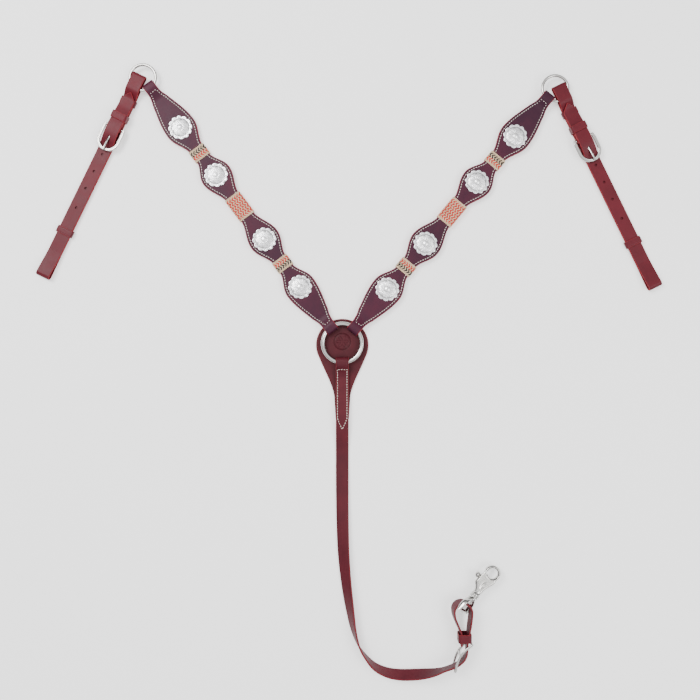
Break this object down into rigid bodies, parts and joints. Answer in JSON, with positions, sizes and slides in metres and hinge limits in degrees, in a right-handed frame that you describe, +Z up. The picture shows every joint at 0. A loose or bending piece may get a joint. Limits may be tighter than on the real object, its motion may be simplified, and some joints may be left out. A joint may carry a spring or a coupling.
{
  "type": "western breast collar",
  "caption": "Scalloped leather breast collar: two shoulders and a tie-down strap on a centre ring, with buckled tugs and a swivel snap.",
  "frame": {"origin": "middle of the laid-out collar, on the surface it lies on", "axes": "+X to the right seen from the front, +Y towards the neck, +Z up from the surface"},
  "size_m": [0.9282, 0.9116, 0.033],
  "materials": {
    "shoulder_leather": "smooth oiled, burgundy",
    "tug_leather": "smooth oiled, red burgundy",
    "strap_leather": "smooth oiled, brown burgundy",
    "nickel": "polished nickel",
    "concho_silver": "engraved bright silver",
    "rawhide": "braided rawhide, cream, red and black",
    "thread": "waxed thread"
  },
  "bodies": {
    "ring": {"centre_ring": "nickel"},
    "tie_down": {"chest_shield": "strap_leather", "tie_down_strap": "strap_leather", "tie_down_keeper": "strap_leather", "conway_buckle": "nickel"},
    "left_shoulder": {"left_shoulder_face": "shoulder_leather", "left_shoulder_lining": "strap_leather", "left_concho_1": "concho_silver", "left_concho_screw_1": "nickel", "left_concho_2": "concho_silver", "left_concho_screw_2": "nickel", "left_concho_3": "concho_silver", "left_concho_screw_3": "nickel", "left_concho_4": "concho_silver", "left_concho_screw_4": "nickel", "left_rawhide_wrap_1": "rawhide", "left_rawhide_wrap_2": "rawhide", "left_rawhide_wrap_3": "rawhide"},
    "left_ring": {"left_upper_ring": "nickel"},
    "left_tug": {"left_tug_strap": "tug_leather", "left_buckle_frame": "nickel", "left_chape_keeper": "tug_leather", "left_buckle_keeper": "tug_leather"},
    "left_tongue": {"left_buckle_tongue": "nickel"},
    "left_keeper": {"left_sliding_keeper": "tug_leather"},
    "right_shoulder": {"right_shoulder_face": "shoulder_leather", "right_shoulder_lining": "strap_leather", "right_concho_1": "concho_silver", "right_concho_screw_1": "nickel", "right_concho_2": "concho_silver", "right_concho_screw_2": "nickel", "right_concho_3": "concho_silver", "right_concho_screw_3": "nickel", "right_concho_4": "concho_silver", "right_concho_screw_4": "nickel", "right_rawhide_wrap_1": "rawhide", "right_rawhide_wrap_2": "rawhide", "right_rawhide_wrap_3": "rawhide"},
    "right_ring": {"right_upper_ring": "nickel"},
    "right_tug": {"right_tug_strap": "tug_leather", "right_buckle_frame": "nickel", "right_chape_keeper": "tug_leather", "right_buckle_keeper": "tug_leather"},
    "right_tongue": {"right_buckle_tongue": "nickel"},
    "right_keeper": {"right_sliding_keeper": "tug_leather"},
    "snap_eye": {"snap_swivel_eye": "nickel"},
    "snap": {"snap_body": "nickel", "snap_spring": "nickel"},
    "bolt": {"snap_bolt": "nickel"}
  },
  "joints": [
    {"name": "tie_down_fold", "type": "hinge", "parent": "ring", "child": "tie_down", "pos_m": [-0.01007, 0.01333, 0.00986], "axis": [-1, 0, 0], "range_deg": [0, 40]},
    {"name": "left_shoulder_swing", "type": "hinge", "parent": "ring", "child": "left_shoulder", "pos_m": [-0.01007, 0.04192, 0.00986], "axis": [0, 0, 1], "range_deg": [-9, 40]},
    {"name": "left_ring_fold", "type": "hinge", "parent": "left_shoulder", "child": "left_ring", "pos_m": [-0.29347, 0.41938, 0.00991], "axis": [0.7997, 0.6004, 0], "range_deg": [-30, 30]},
    {"name": "left_tug_swing", "type": "hinge", "parent": "left_ring", "child": "left_tug", "pos_m": [-0.30488, 0.43457, 0.00991], "axis": [0, 0, -1], "range_deg": [0, 90]},
    {"name": "left_tongue_tilt", "type": "hinge", "parent": "left_tug", "child": "left_tongue", "pos_m": [-0.34656, 0.36144, 0.00866], "axis": [-0.8988, 0.4384, 0], "range_deg": [0, 4]},
    {"name": "left_keeper_slide", "type": "slide", "parent": "left_tug", "child": "left_keeper", "axis": [-0.4384, -0.8988, 0], "range_m": [-0.025, 0.02]},
    {"name": "right_shoulder_swing", "type": "hinge", "parent": "ring", "child": "right_shoulder", "pos_m": [-0.01007, 0.04192, 0.00986], "axis": [0, 0, 1], "range_deg": [-40, 9]},
    {"name": "right_ring_fold", "type": "hinge", "parent": "right_shoulder", "child": "right_ring", "pos_m": [0.29269, 0.40403, 0.00991], "axis": [0.7672, -0.6414, 0], "range_deg": [-30, 30]},
    {"name": "right_tug_swing", "type": "hinge", "parent": "right_ring", "child": "right_tug", "pos_m": [0.30488, 0.4186, 0.00991], "axis": [0, 0, 1], "range_deg": [0, 90]},
    {"name": "right_tongue_tilt", "type": "hinge", "parent": "right_tug", "child": "right_tongue", "pos_m": [0.34656, 0.34547, 0.00866], "axis": [-0.8988, -0.4384, 0], "range_deg": [0, 4]},
    {"name": "right_keeper_slide", "type": "slide", "parent": "right_tug", "child": "right_keeper", "axis": [0.4384, -0.8988, 0], "range_m": [-0.025, 0.02]},
    {"name": "snap_eye_tilt", "type": "hinge", "parent": "tie_down", "child": "snap_eye", "pos_m": [0.16723, -0.35037, 0.01726], "axis": [-0.3905, 0.4261, 0.816], "range_deg": [-8, 10]},
    {"name": "snap_swivel", "type": "hinge", "parent": "snap_eye", "child": "snap", "pos_m": [0.18143, -0.33369, 0.01534], "axis": [0.6457, 0.7586, -0.0872], "continuous": true},
    {"name": "snap_bolt_slide", "type": "slide", "parent": "snap", "child": "bolt", "axis": [-0.6457, -0.7586, 0.0872], "range_m": [0, 0.008], "stiffness_N_per_m": 250, "springref_m": -0.004, "deforming": ["snap_spring"]}
  ]
}
